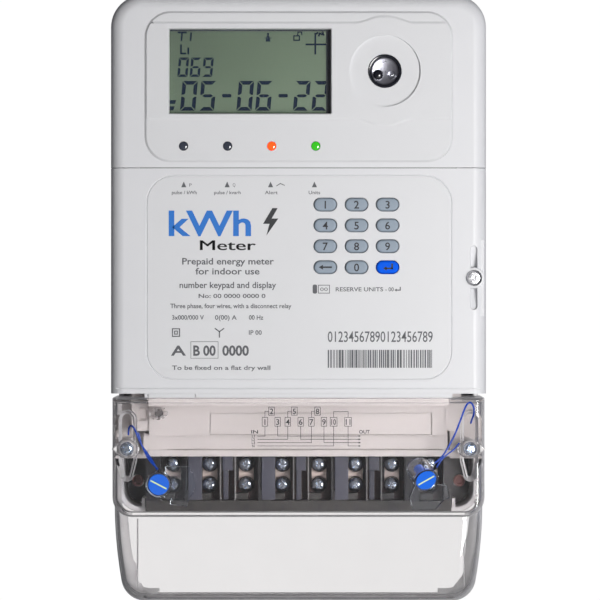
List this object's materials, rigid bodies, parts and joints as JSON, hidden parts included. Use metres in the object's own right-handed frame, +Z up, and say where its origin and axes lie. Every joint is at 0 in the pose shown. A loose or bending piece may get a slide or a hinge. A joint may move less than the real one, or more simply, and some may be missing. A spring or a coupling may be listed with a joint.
{
  "type": "prepaid electricity meter",
  "caption": "Wall-mounted electricity meter with a display, a keypad, an optical port, a black terminal block and a clear sealed terminal cover with blue wire seals.",
  "frame": {"origin": "midway across the meter's width and 136.5 mm below its top, on the flat rear face of the base case, which rests on the wall", "axes": "+Z up, +X to the right as seen from the front, -Y out of the front"},
  "size_m": [0.17, 0.0824, 0.277],
  "materials": {
    "case_plastic": "moulded",
    "bezel_plastic": "satin moulded",
    "clear_cover": "clear polycarbonate",
    "clear_lens": "clear polycarbonate",
    "lcd": "reflective display",
    "board": "solder mask",
    "dark_lens": "dark infrared window",
    "steel": "plated",
    "led_off": "unlit lamp",
    "led_red": "lit lamp",
    "led_green": "lit lamp",
    "key_rubber": "silicone",
    "enter_rubber": "silicone",
    "mat_rubber": "silicone",
    "black_plastic": "moulded thermoset",
    "relay_plastic": "moulded",
    "terminal_brass": "tin plated brass",
    "ferrite": "coated core",
    "transformer_wrap": "taped winding",
    "battery_wrap": "shrink sleeve",
    "clear_seal": "clear styrene",
    "wire_blue": "coated seal wire"
  },
  "bodies": {
    "meter": {"base_case": "case_plastic", "upper_cover": "case_plastic", "lower_cover": "case_plastic", "battery_door": "case_plastic", "case_sealing_screw": "steel", "display_bezel": "bezel_plastic", "display_window": "clear_lens", "lcd_panel": "lcd", "display_board": "board", "optical_port_ring": "steel", "optical_port_window": "dark_lens", "led_active_pulse": "led_off", "led_reactive_pulse": "led_off", "led_warning": "led_red", "led_credit": "led_green", "keypad_mat": "mat_rubber", "main_board": "board", "disconnect_relay": "relay_plastic", "supply_transformer": "transformer_wrap", "current_transformer_1": "ferrite", "current_transformer_2": "ferrite", "current_transformer_3": "ferrite", "backup_battery": "battery_wrap", "terminal_block": "black_plastic", "terminal_1": "terminal_brass", "terminal_3": "terminal_brass", "terminal_4": "terminal_brass", "terminal_6": "terminal_brass", "terminal_7": "terminal_brass", "terminal_9": "terminal_brass", "terminal_neutral_10_11": "terminal_brass", "clamp_screws_1": "steel", "clamp_screws_3": "steel", "clamp_screws_4": "steel", "clamp_screws_6": "steel", "clamp_screws_7": "steel", "clamp_screws_9": "steel", "clamp_screws_10": "steel", "clamp_screws_11": "steel"},
    "terminal_cover": {"terminal_cover": "clear_cover", "cover_screw_left": "steel", "cover_screw_right": "steel", "seal_left": "clear_seal", "seal_right": "clear_seal", "seal_wire_left": "wire_blue", "seal_wire_right": "wire_blue"},
    "hanging_hook": {"hanging_hook": "steel"},
    "tamper_plunger": {"tamper_plunger": "black_plastic"},
    "key_1": {"key_1": "key_rubber"},
    "key_2": {"key_2": "key_rubber"},
    "key_3": {"key_3": "key_rubber"},
    "key_4": {"key_4": "key_rubber"},
    "key_5": {"key_5": "key_rubber"},
    "key_6": {"key_6": "key_rubber"},
    "key_7": {"key_7": "key_rubber"},
    "key_8": {"key_8": "key_rubber"},
    "key_9": {"key_9": "key_rubber"},
    "key_back": {"key_back": "key_rubber"},
    "key_0": {"key_0": "key_rubber"},
    "key_enter": {"key_enter": "enter_rubber"}
  },
  "joints": [
    {"name": "terminal_cover_lift_off", "type": "slide", "parent": "meter", "child": "terminal_cover", "axis": [0, -1, 0], "range_m": [0, 0.095]},
    {"name": "hanging_hook_slide", "type": "slide", "parent": "meter", "child": "hanging_hook", "axis": [0, 0, 1], "range_m": [0, 0.02]},
    {"name": "tamper_plunger_slide", "type": "slide", "parent": "meter", "child": "tamper_plunger", "axis": [0, -1, 0], "range_m": [0, 0.0015]},
    {"name": "key_1_press", "type": "slide", "parent": "meter", "child": "key_1", "axis": [0, 1, 0], "range_m": [0, 0.0008], "stiffness_N_per_m": 800, "springref_m": -0.0005},
    {"name": "key_2_press", "type": "slide", "parent": "meter", "child": "key_2", "axis": [0, 1, 0], "range_m": [0, 0.0008], "stiffness_N_per_m": 800, "springref_m": -0.0005},
    {"name": "key_3_press", "type": "slide", "parent": "meter", "child": "key_3", "axis": [0, 1, 0], "range_m": [0, 0.0008], "stiffness_N_per_m": 800, "springref_m": -0.0005},
    {"name": "key_4_press", "type": "slide", "parent": "meter", "child": "key_4", "axis": [0, 1, 0], "range_m": [0, 0.0008], "stiffness_N_per_m": 800, "springref_m": -0.0005},
    {"name": "key_5_press", "type": "slide", "parent": "meter", "child": "key_5", "axis": [0, 1, 0], "range_m": [0, 0.0008], "stiffness_N_per_m": 800, "springref_m": -0.0005},
    {"name": "key_6_press", "type": "slide", "parent": "meter", "child": "key_6", "axis": [0, 1, 0], "range_m": [0, 0.0008], "stiffness_N_per_m": 800, "springref_m": -0.0005},
    {"name": "key_7_press", "type": "slide", "parent": "meter", "child": "key_7", "axis": [0, 1, 0], "range_m": [0, 0.0008], "stiffness_N_per_m": 800, "springref_m": -0.0005},
    {"name": "key_8_press", "type": "slide", "parent": "meter", "child": "key_8", "axis": [0, 1, 0], "range_m": [0, 0.0008], "stiffness_N_per_m": 800, "springref_m": -0.0005},
    {"name": "key_9_press", "type": "slide", "parent": "meter", "child": "key_9", "axis": [0, 1, 0], "range_m": [0, 0.0008], "stiffness_N_per_m": 800, "springref_m": -0.0005},
    {"name": "key_back_press", "type": "slide", "parent": "meter", "child": "key_back", "axis": [0, 1, 0], "range_m": [0, 0.0008], "stiffness_N_per_m": 800, "springref_m": -0.0005},
    {"name": "key_0_press", "type": "slide", "parent": "meter", "child": "key_0", "axis": [0, 1, 0], "range_m": [0, 0.0008], "stiffness_N_per_m": 800, "springref_m": -0.0005},
    {"name": "key_enter_press", "type": "slide", "parent": "meter", "child": "key_enter", "axis": [0, 1, 0], "range_m": [0, 0.0008], "stiffness_N_per_m": 800, "springref_m": -0.0005}
  ],
  "couplings": [
    {"joint": "tamper_plunger_slide", "follows": "terminal_cover_lift_off", "ratio": 0.015789}
  ]
}
